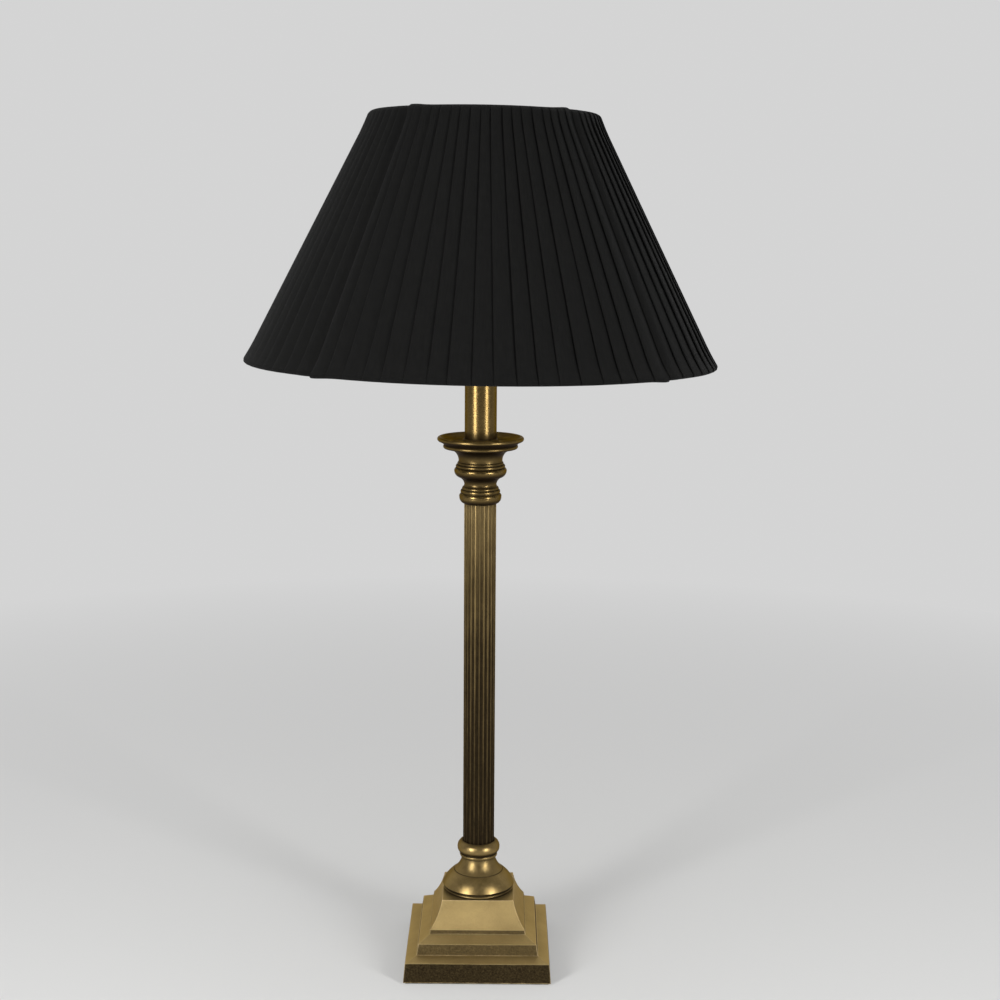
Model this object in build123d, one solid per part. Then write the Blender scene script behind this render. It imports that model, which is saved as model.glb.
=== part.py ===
from build123d import *
import math
import os

os.makedirs("parts", exist_ok=True)

# Candlestick table lamp, millimetres, +Z up, front towards -Y.
# Origin: on the standing surface, on the axis of the stem.

# ---------------------------------------------------------------- fits
seat_clearance = 0.15          # plain hole over the rod, spigot in a tube
thread_clearance = 0.05        # threaded hole over its thread
running_clearance = 0.08       # bulb thread in its shell, switch bar in its holes
moving_gap = 0.3               # between a moving piece and what it passes
fabric_gap = 0.3               # between cloth and the wires it lies on
overrun = 1.0                  # a cut past the face it opens

# ---------------------------------------------------------------- base
felt_thickness = 1.5
felt_inset = 2.0               # felt edge behind the plinth edge
tier1_top_width = 127.0
tier1_draft = 1.5              # its foot stands out by this on each side
tier1_bottom_width = tier1_top_width + 2 * tier1_draft
tier1_height = 17.6
tier1_rise = 3.0               # its top slopes up to the second tier
tier2_top_width = 104.4
tier2_draft = 1.45
tier2_bottom_width = tier2_top_width + 2 * tier2_draft
tier2_height = 10.0
tier2_rise = 5.0
band_bottom_width = 85.0
band_top_width = 84.0
band_height = 3.5
cavetto_top_width = 63.5
cavetto_height = 23.7
cavetto_hollow = 1.5           # sagitta of the hollow sides
plinth_wall = 4.5
plinth_roof = 6.0
edge_round = 0.6
cover_thickness = 1.5
post_radius = 5.0
post_inset = 9.5               # post axis from the inner wall
screw_radius = 1.6
screw_head_radius = 3.2
screw_length = 9.0
weight_radius = 43.0
weight_thickness = 10.5
weight_hole_radius = 14.0
bush_height = 8.6              # cord inlet above the standing surface
bush_sleeve_radius = 3.9
bush_bore_radius = 2.9
bush_flange_radius = 5.4
bush_flange_thickness = 1.8
bush_nut_radius = 5.0
bush_nut_thickness = 3.0
bush_tail = 1.0                # sleeve standing past its nut

# ---------------------------------------------------------------- rod
rod_radius = 5.0
rod_bore_radius = 3.6
rod_tail = 3.0                 # rod below its bottom nut
rod_nut_radius = 9.8           # across corners / 2
rod_nut_thickness = 5.0
lock_washer_radius = 9.0
lock_washer_thickness = 1.2
washer_radius = 11.0
washer_thickness = 1.5
top_nut_radius = 8.6
top_nut_thickness = 4.0
rod_engagement = 8.0           # rod inside the lampholder cap

# ---------------------------------------------------------------- stem
bell_height = 31.0
bell_radius = 32.4
bell_widest_height = 5.2
bell_bead_radius = 30.6
bell_bead_height = 3.0
bell_bead_bulge = 1.0
bell_groove_height = 0.5
bell_line_radius = 22.2        # turned line round the bell
bell_line_height = 17.2
bell_line_depth = 0.6
bell_neck_radius = 14.8
bell_shoulder_bulge = 1.2
bell_throat_hollow = 1.4
bell_wall = 4.5
bell_cavity_height = 21.0
bell_cavity_top_radius = 9.0

collar_height = 14.2
collar_ring_radius = 16.7
collar_ring_height = 2.2
collar_groove_radius = 16.0
collar_groove_height = 0.7
collar_radius = 19.0
collar_widest_height = 7.2
collar_lip_radius = 15.0
collar_seat_depth = 4.0

column_length = 313.5
column_radius = 14.1
column_bore_radius = 11.5
flute_count = 22
flute_radius = 1.7
flute_offset = 0.75            # flute centre outside the column surface
bushing_height = 8.0

cap_height = 17.0              # small knop on top of the column
cap_foot_radius = 14.9
cap_radius = 18.4
cap_widest_height = 5.6
cap_groove_radius = 16.9
cap_groove_height = 8.9
cap_bead_height = 2.8
cap_step_radius = 15.8
cap_small_bead_height = 3.0
neck_radius = 14.1

knop_height = 30.3             # large knop under the drip pan
knop_radius = 22.9
knop_widest_height = 11.3
knop_throat_radius = 18.6
knop_throat_height = 6.0
knop_groove_radius = 21.1
knop_groove_height = 14.5
knop_bead_height = 2.5
knop_step_radius = 19.9
knop_small_bead_height = 2.8
knop_cove_radius = 19.2
knop_cove_hollow = 2.2
knop_top_radius = 26.0

pan_radius = 37.75
pan_height = 11.2
pan_rim_radius = 2.0           # bead round the rim
pan_step_radius = 31.8
pan_step_height = 1.2
pan_step_bead = 3.0
pan_neck_radius = 35.0
pan_floor_height = 6.0
pan_floor_radius = 28.0

tube_ring_radius = 15.6
tube_ring_height = 3.4
tube_ring_top_radius = 14.8
tube_radius = 13.95
tube_wall = 1.2
tube_length = 93.7
tube_cap_thickness = 2.0
tube_cap_spigot = 5.0

# ---------------------------------------------------------------- lampholder
holder_height = 22.0           # dome and switch chamber
holder_radius = 19.0
holder_foot_radius = 9.5
holder_foot_height = 4.0
holder_dome_height = 12.0
holder_chamber_radius = 15.5
holder_floor = 9.0
holder_rebate_radius = 17.6
holder_rebate_depth = 1.5
switch_height = 15.5
switch_radius = 2.5
switch_length = 52.0
switch_travel = 7.0
switch_tip_radius = 3.2
switch_tip_length = 3.0
skirt_height = 38.0
skirt_radius = 19.5
skirt_groove_depth = 0.5
skirt_pitch = 3.0
skirt_thread_count = 10
insert_thickness = 8.0
insert_cup_height = 27.0
insert_radius = 17.4
shell_height = 22.0
shell_wall = 0.6
contact_radius = 3.0
contact_height = 2.4
terminal_radius = 1.9
terminal_length = 5.0
terminal_spacing = 20.0
ring_radius = 27.5
ring_thickness = 3.5
ring_height = 12.0             # lower shade ring above the skirt's foot
ring_notch_radius = 1.4
ring_notch_count = 24

# ---------------------------------------------------------------- bulb
bulb_cap_radius = 13.3
bulb_cap_height = 20.8
bulb_thread_depth = 0.7
bulb_thread_pitch = 3.6
bulb_thread_count = 4
bulb_flare_height = 0.9
bulb_neck_radius = 14.4
bulb_neck_height = 10.0
bulb_radius = 30.0
bulb_centre_height = 49.0      # globe centre above the cap
bulb_glass_thickness = 0.9
bulb_tip_radius = 4.5
bulb_tip_height = 1.5
bulb_insulator_radius = 11.6
bulb_insulator_height = 3.5
stem_height = 34.0
stem_radius = 4.0
stem_flare_height = 1.0
stem_foot_height = 6.0
stem_foot_hollow = 1.5
filament_radius = 13.0
filament_wire = 0.5
filament_root = 4.0            # where its leads leave the stem, below the stem's top

# ---------------------------------------------------------------- shade
shade_bottom = 540.8           # lowest edge of the shade, on its axis
shade_height = 211.0
shade_bottom_reach = 203.2     # axis to the crown of a lobe
shade_bottom_dip = 4.4         # how far the valleys stand inside the crowns
shade_top_reach = 95.5
shade_top_dip = 4.2
valley_radius = 2.5
shade_turn = 3.9               # degrees, as it stands on the lampholder
shade_lean = 0.6               # degrees, its top towards +X
shade_bottom_valley = shade_bottom_reach - shade_bottom_dip
shade_top_valley = shade_top_reach - shade_top_dip
lobe_count = 4
lobe_rib_places = [0.3, 0.7]   # along a lobe's arc
trim_radius = 3.2
ring_wire_radius = 1.5
rib_radius = 1.2
arm_radius = 1.6
arm_run = 12.0                 # level stretch of an arm inside the top ring
cover_inset = 0.6
cover_cloth = 2.5              # pleated cloth, folds and all
lining_cloth = 0.6
fitter_bore_radius = 20.2
fitter_radius = 27.0
fitter_thickness = 2.6

# ---------------------------------------------------------------- levels
plinth_foot = felt_thickness
tier1_top = plinth_foot + tier1_height
tier2_foot = tier1_top + tier1_rise
tier2_top = tier2_foot + tier2_height
band_foot = tier2_top + tier2_rise
band_top = band_foot + band_height
plinth_top = band_top + cavetto_height
bell_top = plinth_top + bell_height
collar_top = bell_top + collar_height
column_foot = collar_top - collar_seat_depth
column_top = column_foot + column_length
cap_top = column_top + cap_height
knop_top = cap_top + knop_height
pan_floor = knop_top + pan_floor_height
tube_top = pan_floor + tube_length
tube_cap_top = tube_top + tube_cap_thickness
holder_foot = tube_cap_top + top_nut_thickness
rod_top = holder_foot + rod_engagement
skirt_foot = holder_foot + holder_height
insert_foot = skirt_foot - holder_rebate_depth
insert_top = insert_foot + insert_thickness
bulb_foot = insert_top + contact_height + moving_gap
bulb_cap_foot = bulb_foot + bulb_tip_height + bulb_insulator_height
bulb_cap_top = bulb_cap_foot + bulb_cap_height
lower_ring_foot = skirt_foot + ring_height
fitter_foot = lower_ring_foot + ring_thickness + moving_gap
upper_ring_foot = fitter_foot + fitter_thickness + moving_gap
shade_top = shade_bottom + shade_height
rod_hole = rod_radius + seat_clearance
roof_underside = plinth_top - plinth_roof
cover_top = plinth_foot + cover_thickness
inner_half_width = tier1_top_width / 2 - plinth_wall
post_place = inner_half_width - post_inset
cap_outer_radius = bulb_cap_radius + running_clearance


# ---------------------------------------------------------------- helpers
def arc_or_line(start, end, bulge=0.0):
    """Edge in the XZ plane; a positive bulge swells to the right of its direction."""
    r0, z0 = start
    r1, z1 = end
    if bulge == 0.0:
        return Edge.make_line((r0, 0, z0), (r1, 0, z1))
    length = math.hypot(r1 - r0, z1 - z0)
    mid_r = (r0 + r1) / 2 + bulge * (z1 - z0) / length
    mid_z = (z0 + z1) / 2 - bulge * (r1 - r0) / length
    return Edge.make_three_point_arc((r0, 0, z0), (mid_r, 0, mid_z), (r1, 0, z1))


def turned(foot, outline, bore=0.0):
    """Turned piece: outline (radius, height[, bulge]) runs up its outside from height 0."""
    path = [(0.0, outline[0][1])] + list(outline)
    if outline[-1][0] > 0.0:
        path.append((0.0, outline[-1][1]))
    path.append(path[0])
    edges = [arc_or_line(a[:2], b[:2], *b[2:]) for a, b in zip(path, path[1:])]
    body = revolve(Face(Wire(edges)), Axis.Z)
    body = Pos(0, 0, foot) * body
    if bore:
        low = foot + min(p[1] for p in outline)
        high = foot + max(p[1] for p in outline)
        body -= rod_of(bore, low - overrun, high + overrun)
    return body


def rod_of(radius, low, high):
    return Pos(0, 0, low) * extrude(Circle(radius), high - low)


def washer_of(outer, inner, low, high):
    return Pos(0, 0, low) * extrude(Circle(outer) - Circle(inner), high - low)


def nut_of(corner_radius, bore, low, thickness):
    return Pos(0, 0, low) * extrude(RegularPolygon(corner_radius, 6) - Circle(bore), thickness)


def cross_rod(radius, start, end, height):
    """Round bar along X at a height."""
    return Pos(start, 0, height) * Rot(0, 90, 0) * extrude(Circle(radius), end - start)


def back_rod(radius, start, end):
    """Round bar along Y at the height of the cord inlet."""
    return Pos(0, start, bush_height) * Rot(-90, 0, 0) * extrude(Circle(radius), end - start)


def wire_between(a, b, radius):
    a, b = Vector(*a), Vector(*b)
    plane = Plane(origin=a, z_dir=b - a)
    return extrude(plane * Circle(radius), (b - a).length)


def squared(half_outline):
    """Square moulding: the same half outline (half width, height, bulge) seen from all four sides."""
    sides = list(zip(half_outline, half_outline[1:]))
    right = [arc_or_line(a[:2], b[:2], *b[2:]) for a, b in sides]
    left = [arc_or_line((-b[0], b[1]), (-a[0], a[1]), *b[2:]) for a, b in reversed(sides)]
    top, foot = half_outline[-1], half_outline[0]
    lid = arc_or_line(top[:2], (-top[0], top[1]))
    floor = arc_or_line((-foot[0], foot[1]), foot[:2])
    face = Face(Wire(right + [lid] + left + [floor]))
    width = 2 * (max(p[0] for p in half_outline) + overrun)
    slab = extrude(face, width / 2, both=True)
    return slab & (Rot(0, 0, 90) * slab)


def at_posts(shape):
    return [Pos(x, y, 0) * shape for x in (-post_place, post_place) for y in (-post_place, post_place)]


# ---------------------------------------------------------------- base pieces
def base_felt():
    width = tier1_bottom_width - 2 * felt_inset
    return Pos(0, 0, felt_thickness / 2) * Box(width, width, felt_thickness)


def base_cover():
    width = 2 * (inner_half_width - seat_clearance)
    plate = Pos(0, 0, plinth_foot + cover_thickness / 2) * Box(width, width, cover_thickness)
    sink = Pos(0, 0, plinth_foot + cover_thickness / 2) * Cone(
        screw_head_radius + seat_clearance, screw_radius + seat_clearance, cover_thickness)
    for hole in at_posts(sink):
        plate -= hole
    return plate


def cover_screws():
    head = Pos(0, 0, plinth_foot + cover_thickness / 2) * Cone(
        screw_head_radius, screw_radius, cover_thickness)
    screw = head + rod_of(screw_radius, plinth_foot, plinth_foot + screw_length)
    return at_posts(screw)


def base_weight():
    return washer_of(weight_radius, weight_hole_radius, cover_top, cover_top + weight_thickness)


def rounded(width_low, low, width_high, high):
    """One tier's side with its top edge eased."""
    slope = (width_low - width_high) / 2 / (high - low)
    return [(width_low / 2, low),
            (width_high / 2 + slope * edge_round, high - edge_round),
            (width_high / 2 - edge_round, high, edge_round * (1 - math.sqrt(0.5)))]


def plinth():
    outline = rounded(tier1_bottom_width, plinth_foot, tier1_top_width, tier1_top)
    outline += rounded(tier2_bottom_width, tier2_foot, tier2_top_width, tier2_top)
    outline += [(band_bottom_width / 2, band_foot), (band_top_width / 2, band_top),
                (cavetto_top_width / 2, plinth_top, -cavetto_hollow)]
    body = squared(outline)
    tier2_half = tier2_top_width / 2 - plinth_wall
    band_half = band_top_width / 2 - plinth_wall
    top_half = cavetto_top_width / 2 - plinth_wall
    body -= squared([(inner_half_width, plinth_foot - overrun),
                     (inner_half_width, tier1_top - plinth_wall),
                     (tier2_half, tier1_top - plinth_wall),
                     (tier2_half, tier2_top - plinth_wall),
                     (band_half, tier2_top - plinth_wall),
                     (band_half, tier2_top),
                     (top_half, roof_underside, -cavetto_hollow)])
    roof = tier1_top if post_place > tier2_half else tier2_top
    post = rod_of(post_radius, cover_top, roof - plinth_wall)
    for standing in at_posts(post):
        body += standing
    for hole in at_posts(rod_of(screw_radius + thread_clearance, 0, plinth_foot + screw_length)):
        body -= hole
    body -= rod_of(rod_hole, roof_underside - overrun, plinth_top + overrun)
    body -= back_rod(bush_sleeve_radius + seat_clearance, inner_half_width - overrun, tier1_bottom_width)
    return body


def flange_seat():
    """Where the inlet's flange meets the sloping back of the lowest tier."""
    slope = (tier1_bottom_width - tier1_top_width) / 2 / tier1_height
    return tier1_bottom_width / 2 - slope * (bush_height - bush_flange_radius - plinth_foot)


def cord_bush():
    seat = flange_seat()
    tail = inner_half_width - bush_nut_thickness - bush_tail
    body = back_rod(bush_flange_radius, seat, seat + bush_flange_thickness)
    body = fillet(body.faces().sort_by(Axis.Y)[-1].edges(), bush_flange_thickness * 0.4)
    body += back_rod(bush_sleeve_radius, tail, seat + bush_flange_thickness / 2)
    return body - back_rod(bush_bore_radius, tail - overrun, seat + bush_flange_thickness + overrun)


def cord_bush_nut():
    low = inner_half_width - bush_nut_thickness
    blank = extrude(RegularPolygon(bush_nut_radius, 6), bush_nut_thickness)
    blank = Pos(0, low, bush_height) * Rot(-90, 0, 0) * blank
    return blank - back_rod(bush_sleeve_radius + thread_clearance, low - overrun, inner_half_width + overrun)


# ---------------------------------------------------------------- rod and its fixings
rod_washer_foot = roof_underside - washer_thickness
lock_washer_foot = rod_washer_foot - lock_washer_thickness
rod_nut_foot = lock_washer_foot - rod_nut_thickness


def threaded_rod():
    return washer_of(rod_radius, rod_bore_radius, rod_nut_foot - rod_tail, rod_top)


def rod_washer():
    return washer_of(washer_radius, rod_hole, rod_washer_foot, roof_underside)


def rod_lock_washer():
    ring = washer_of(lock_washer_radius, rod_hole, lock_washer_foot, rod_washer_foot)
    slit = Pos(lock_washer_radius, 0, lock_washer_foot) * Box(
        2 * lock_washer_radius - rod_radius, lock_washer_thickness, 3 * lock_washer_thickness)
    return ring - slit


def rod_nut_bottom():
    return nut_of(rod_nut_radius, rod_radius + thread_clearance, rod_nut_foot, rod_nut_thickness)


def rod_nut_top():
    return nut_of(top_nut_radius, rod_radius + thread_clearance, tube_cap_top, top_nut_thickness)


# ---------------------------------------------------------------- stem pieces
def foot_bell():
    line_top = bell_line_height + bell_line_depth
    outline = [(bell_bead_radius, 0),
               (bell_bead_radius, bell_bead_height, bell_bead_bulge),
               (bell_bead_radius, bell_bead_height + bell_groove_height),
               (bell_radius, bell_widest_height, 0.3),
               (bell_line_radius, bell_line_height, bell_shoulder_bulge),
               (bell_line_radius - bell_line_depth, bell_line_height),
               (bell_line_radius - bell_line_depth, line_top),
               (bell_neck_radius, bell_height, -bell_throat_hollow)]
    body = turned(plinth_top, outline, rod_hole)
    hollow = turned(plinth_top, [(bell_bead_radius - bell_wall, -overrun),
                                 (bell_bead_radius - bell_wall, bell_widest_height),
                                 (bell_cavity_top_radius, bell_cavity_height)])
    return body - hollow


def foot_collar():
    groove_top = collar_ring_height + collar_groove_height
    body = turned(bell_top, [(collar_ring_radius, 0),
                             (collar_ring_radius, collar_ring_height, 0.3),
                             (collar_groove_radius, collar_ring_height),
                             (collar_groove_radius, groove_top),
                             (collar_radius, collar_widest_height, 0.8),
                             (collar_lip_radius, collar_height, 1.4)], rod_hole)
    return body - rod_of(column_radius + seat_clearance, column_foot, collar_top + overrun)


def column():
    body = washer_of(column_radius, column_bore_radius, column_foot, column_top)
    flute = rod_of(flute_radius, column_foot - overrun, column_top + overrun)
    flutes = [Rot(0, 0, 360 * i / flute_count) * Pos(column_radius + flute_offset, 0, 0) * flute
              for i in range(flute_count)]
    return body - flutes


def column_bushing(low):
    return washer_of(column_bore_radius - thread_clearance, rod_hole, low, low + bushing_height)


def column_cap():
    bead_foot = cap_groove_height + 0.2
    bead_top = bead_foot + cap_bead_height
    return turned(column_top, [(cap_foot_radius, 0),
                               (cap_radius, cap_widest_height, 1.0),
                               (cap_groove_radius, cap_groove_height, 0.7),
                               (cap_groove_radius, bead_foot),
                               (cap_groove_radius, bead_top, 0.5),
                               (cap_step_radius, bead_top),
                               (cap_step_radius - 0.9, bead_top + cap_small_bead_height, 0.7),
                               (neck_radius, cap_height, -0.2)], rod_hole)


def knop():
    bead_top = knop_groove_height + knop_bead_height
    small_top = bead_top + knop_small_bead_height
    return turned(cap_top, [(neck_radius, 0),
                            (knop_throat_radius, knop_throat_height, -1.0),
                            (knop_radius, knop_widest_height, 1.0),
                            (knop_groove_radius, knop_groove_height, 0.7),
                            (knop_groove_radius, bead_top, 0.5),
                            (knop_step_radius, bead_top),
                            (knop_cove_radius, small_top, 0.6),
                            (knop_top_radius, knop_height, -knop_cove_hollow)], rod_hole)


def drip_pan():
    rim = pan_radius - pan_rim_radius
    rim_foot = pan_height - 2 * pan_rim_radius
    step_top = pan_step_height + pan_step_bead
    return turned(knop_top, [(knop_top_radius, 0),
                             (pan_step_radius, pan_step_height),
                             (pan_step_radius, step_top, 0.8),
                             (pan_neck_radius, rim_foot - 0.6, -0.3),
                             (rim, rim_foot),
                             (rim, pan_height, pan_rim_radius),
                             (rim - 1.2, pan_height - 0.9, 0.2),
                             (pan_floor_radius, pan_floor_height + 0.4, -0.6),
                             (tube_ring_radius + 1, pan_floor_height)], rod_hole)


def tube_ring():
    return turned(pan_floor, [(tube_ring_radius, 0),
                              (tube_ring_radius, 0.4 * tube_ring_height, 0.3),
                              (tube_ring_top_radius, tube_ring_height, 0.3)],
                  tube_radius + thread_clearance)


def candle_tube():
    return washer_of(tube_radius, tube_radius - tube_wall, pan_floor, tube_top)


def tube_cap():
    spigot = washer_of(tube_radius - tube_wall - thread_clearance, rod_hole,
                       tube_top - tube_cap_spigot, tube_top)
    disc = washer_of(tube_radius, rod_hole, tube_top, tube_cap_top)
    return spigot + disc


# ---------------------------------------------------------------- lampholder pieces
def lampholder_cap():
    body = turned(holder_foot, [(holder_foot_radius, 0),
                                (holder_foot_radius, holder_foot_height),
                                (holder_radius, holder_dome_height, 2.0),
                                (holder_radius, holder_height)])
    body -= rod_of(rod_radius + thread_clearance, holder_foot - overrun, skirt_foot)
    body -= rod_of(holder_chamber_radius, holder_foot + holder_floor, skirt_foot + overrun)
    body -= rod_of(holder_rebate_radius, insert_foot, skirt_foot + overrun)
    hole = cross_rod(switch_radius + running_clearance, -2 * holder_radius, 2 * holder_radius,
                     holder_foot + switch_height)
    return body - hole


def switch_bar():
    """Push-through bar, standing out on the left by its travel."""
    left = -(switch_length + switch_travel) / 2
    right = left + switch_length
    height = holder_foot + switch_height
    bar = cross_rod(switch_radius, left, right, height)
    for start in (left, right - switch_tip_length):
        tip = cross_rod(switch_tip_radius, start, start + switch_tip_length, height)
        bar += fillet(tip.edges(), 0.25 * switch_tip_length)
    return bar


def lampholder_skirt():
    body = washer_of(skirt_radius, holder_rebate_radius, skirt_foot, skirt_foot + skirt_height)
    first = skirt_foot + skirt_height - skirt_pitch
    for turn in range(skirt_thread_count):
        level = first - turn * skirt_pitch
        body -= washer_of(skirt_radius + overrun, skirt_radius - skirt_groove_depth,
                          level - skirt_pitch / 4, level + skirt_pitch / 4)
    return body


def holder_insert():
    body = rod_of(insert_radius, insert_foot, insert_top)
    cup = washer_of(insert_radius, cap_outer_radius + shell_wall + thread_clearance,
                    insert_top, insert_top + insert_cup_height)
    body += cup
    for side in (-1, 1):
        bore = rod_of(terminal_radius + thread_clearance, insert_foot - overrun, insert_foot + terminal_length)
        body -= Pos(0, side * terminal_spacing / 2, 0) * bore
    return body


def terminal_screws():
    screw = rod_of(terminal_radius, insert_foot, insert_foot + terminal_length)
    slot = Pos(0, 0, insert_foot) * Box(2 * terminal_radius + 1, 0.3 * terminal_radius, 1.0)
    return [Pos(0, side * terminal_spacing / 2, 0) * (screw - slot) for side in (-1, 1)]


def screw_shell():
    return washer_of(cap_outer_radius + shell_wall, cap_outer_radius,
                     insert_top, insert_top + shell_height)


def centre_contact():
    return turned(insert_top, [(contact_radius, 0),
                               (contact_radius, 0.5 * contact_height),
                               (0.6 * contact_radius, contact_height, 0.2)])


def shade_ring(low):
    ring = washer_of(ring_radius, skirt_radius + thread_clearance, low, low + ring_thickness)
    notch = rod_of(ring_notch_radius, low - overrun, low + ring_thickness + overrun)
    notches = [Rot(0, 0, 360 * i / ring_notch_count) * Pos(ring_radius + 0.5 * ring_notch_radius, 0, 0)
               * notch for i in range(ring_notch_count)]
    return ring - notches


# ---------------------------------------------------------------- bulb pieces
def bulb_tip():
    return turned(bulb_foot, [(0.6 * bulb_tip_radius, 0),
                              (bulb_tip_radius, bulb_tip_height, 0.3)])


def bulb_insulator():
    return turned(bulb_foot + bulb_tip_height, [(bulb_tip_radius, 0),
                                                (bulb_insulator_radius, bulb_insulator_height, -0.5)])


def bulb_cap():
    flare_foot = bulb_cap_height - bulb_flare_height
    body = turned(bulb_cap_foot, [(bulb_insulator_radius, 0),
                                  (bulb_cap_radius, bulb_thread_depth, 0.2),
                                  (bulb_cap_radius, flare_foot),
                                  (bulb_neck_radius, bulb_cap_height)],
                  bulb_cap_radius - 2 * bulb_thread_depth - bulb_glass_thickness)
    for turn in range(bulb_thread_count):
        level = bulb_cap_foot + bulb_thread_pitch * (turn + 0.75)
        body -= washer_of(bulb_cap_radius + overrun, bulb_cap_radius - bulb_thread_depth,
                          level - bulb_thread_pitch / 4, level + bulb_thread_pitch / 4)
    return body


def globe(inset, low):
    """Pear-shaped envelope, inset from the glass surface."""
    shoulder_angle = math.radians(35)
    radius = bulb_radius - inset
    shoulder_radius = radius * math.cos(shoulder_angle)
    shoulder_height = bulb_centre_height - radius * math.sin(shoulder_angle)
    crown = bulb_centre_height + radius
    half_angle = (math.pi / 2 + shoulder_angle) / 2
    chord_sagitta = radius * (1 - math.cos(half_angle))
    neck = bulb_neck_radius - inset
    return turned(bulb_cap_top, [(neck, low),
                                 (neck, bulb_neck_height),
                                 (shoulder_radius, shoulder_height, -1.2),
                                 (0.0, crown, chord_sagitta)])


def bulb_glass():
    return globe(0.0, 0.0) - globe(bulb_glass_thickness, -overrun)


def bulb_stem():
    """Glass mount standing in the neck, closed below by its flare."""
    flare = bulb_neck_radius - bulb_glass_thickness - thread_clearance
    return turned(bulb_cap_top, [(flare, 0),
                                 (flare, stem_flare_height),
                                 (stem_radius, stem_foot_height, -stem_foot_hollow),
                                 (stem_radius, stem_height)])


def bulb_filament():
    """Bowed filament on two lead wires, one solid."""
    level = bulb_cap_top + bulb_centre_height
    bow = Edge.make_three_point_arc((-filament_radius, 0, level), (0, -filament_radius, level),
                                    (filament_radius, 0, level))
    start = Plane(origin=bow @ 0, z_dir=bow % 0)
    body = sweep(start * Circle(filament_wire), path=bow)
    foot = bulb_cap_top + stem_height - filament_root
    for side in (-1, 1):
        body += wire_between((side * (stem_radius + 0.1), 0, foot), (side * filament_radius, 0, level),
                             filament_wire)
        body += Pos(side * filament_radius, 0, level) * Sphere(filament_wire)
    body += cross_rod(filament_wire, -stem_radius - 0.1, stem_radius + 0.1, foot)
    return body - bulb_stem()


# ---------------------------------------------------------------- shade pieces
def reach_at(height):
    share = (height - shade_bottom) / shade_height
    reach = shade_bottom_reach + share * (shade_top_reach - shade_bottom_reach)
    valley = shade_bottom_valley + share * (shade_top_valley - shade_bottom_valley)
    return reach, valley


def placed(x, y, z):
    """Point of the shade's own frame, turned and leaning as it sits on the lamp."""
    point = Vector(x, y, z - shade_bottom).rotate(Axis.Z, shade_turn).rotate(Axis.Y, shade_lean)
    return tuple(point + Vector(0, 0, shade_bottom))


def plan_arcs(height, inset):
    """Lobe and valley arcs of the shade's plan at a height, moved inwards by inset."""
    reach, valley = reach_at(height)
    hollow = valley + valley_radius
    across = (reach + valley_radius) ** 2 - hollow ** 2
    lobe_centre = across / (2 * (reach + valley_radius) - math.sqrt(2) * hollow)
    lobe_radius = reach - lobe_centre
    blend = lobe_radius / (lobe_radius + valley_radius)
    hollow_side = hollow / math.sqrt(2)
    share = (lobe_radius - inset) / lobe_radius * blend
    tangent = (share * hollow_side, -lobe_centre - share * (hollow_side - lobe_centre))
    crown = (0.0, -reach + inset)
    dip = (valley - inset) / math.sqrt(2)
    corners = [(-tangent[0], tangent[1]), crown, tangent, (dip, -dip), (-tangent[1], -tangent[0])]
    arcs = []
    for lobe in range(lobe_count):
        turn = math.radians(360 / lobe_count * lobe)
        spots = [placed(x * math.cos(turn) - y * math.sin(turn),
                        x * math.sin(turn) + y * math.cos(turn), height) for x, y in corners]
        arcs.append(Edge.make_three_point_arc(*spots[:3]))
        arcs.append(Edge.make_three_point_arc(*spots[2:]))
    return arcs


def plan_wire(height, inset):
    return Wire(plan_arcs(height, inset))


def lobed_cone(inset, low, high):
    return Solid.make_loft([plan_wire(low, inset), plan_wire(high, inset)], ruled=True)


def lobed_wall(inset, thickness, low, high):
    return lobed_cone(inset, low, high) - lobed_cone(inset + thickness, low - overrun, high + overrun)


def lobed_ring(level, section):
    """A section carried round the plan along the axis of a ring wire."""
    path = plan_wire(level, trim_radius)
    return sweep(Plane(origin=path @ 0, z_dir=path % 0) * section, path=path)


bottom_wire_level = shade_bottom + trim_radius
top_wire_level = shade_top - trim_radius
cloth_low = bottom_wire_level + trim_radius + fabric_gap
cloth_high = top_wire_level - trim_radius - fabric_gap
rib_inset = cover_inset + cover_cloth + fabric_gap + rib_radius
lining_inset = rib_inset + rib_radius + fabric_gap


def raw_ribs(clearance=0.0, reach_past=0.0):
    """Straight wires from ring to ring: one in each valley, two in each lobe."""
    radius = rib_radius + clearance
    ribs = []
    low_arcs = plan_arcs(bottom_wire_level, rib_inset)
    high_arcs = plan_arcs(top_wire_level, rib_inset)
    for index, (low, high) in enumerate(zip(low_arcs, high_arcs)):
        places = lobe_rib_places if index % 2 == 0 else [0.5]
        for place in places:
            beyond = ((high @ place) - (low @ place)).normalized() * reach_past
            ribs.append(wire_between(tuple(low @ place - beyond), tuple(high @ place + beyond), radius))
    return ribs


def raw_arms(clearance=0.0):
    """Four arms: level inside the top ring, then down to the fitter ring."""
    radius = arm_radius + clearance
    arms = []
    level = fitter_foot + fitter_thickness / 2
    for lobe in plan_arcs(top_wire_level, trim_radius)[::2]:
        crown = lobe @ 0.5
        reach = math.hypot(crown.X, crown.Y)
        bend = crown * ((reach - arm_run) / reach)
        bend = (bend.X, bend.Y, crown.Z)
        hub = (fitter_radius - arm_radius) / reach
        foot = (crown.X * hub, crown.Y * hub, level)
        arm = wire_between(tuple(crown), bend, radius)
        arm += Pos(*bend) * Sphere(radius)
        arm += wire_between(bend, foot, radius)
        arms.append(arm)
    return arms


def shade_fitter():
    return washer_of(fitter_radius, fitter_bore_radius, fitter_foot, fitter_foot + fitter_thickness)


def shade_top_wire():
    return lobed_ring(top_wire_level, Circle(ring_wire_radius))


def shade_bottom_wire():
    return lobed_ring(bottom_wire_level, Circle(ring_wire_radius))


def shade_ribs():
    rings = [shade_top_wire(), shade_bottom_wire()]
    return [largest(rib - rings) for rib in raw_ribs()]


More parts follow.
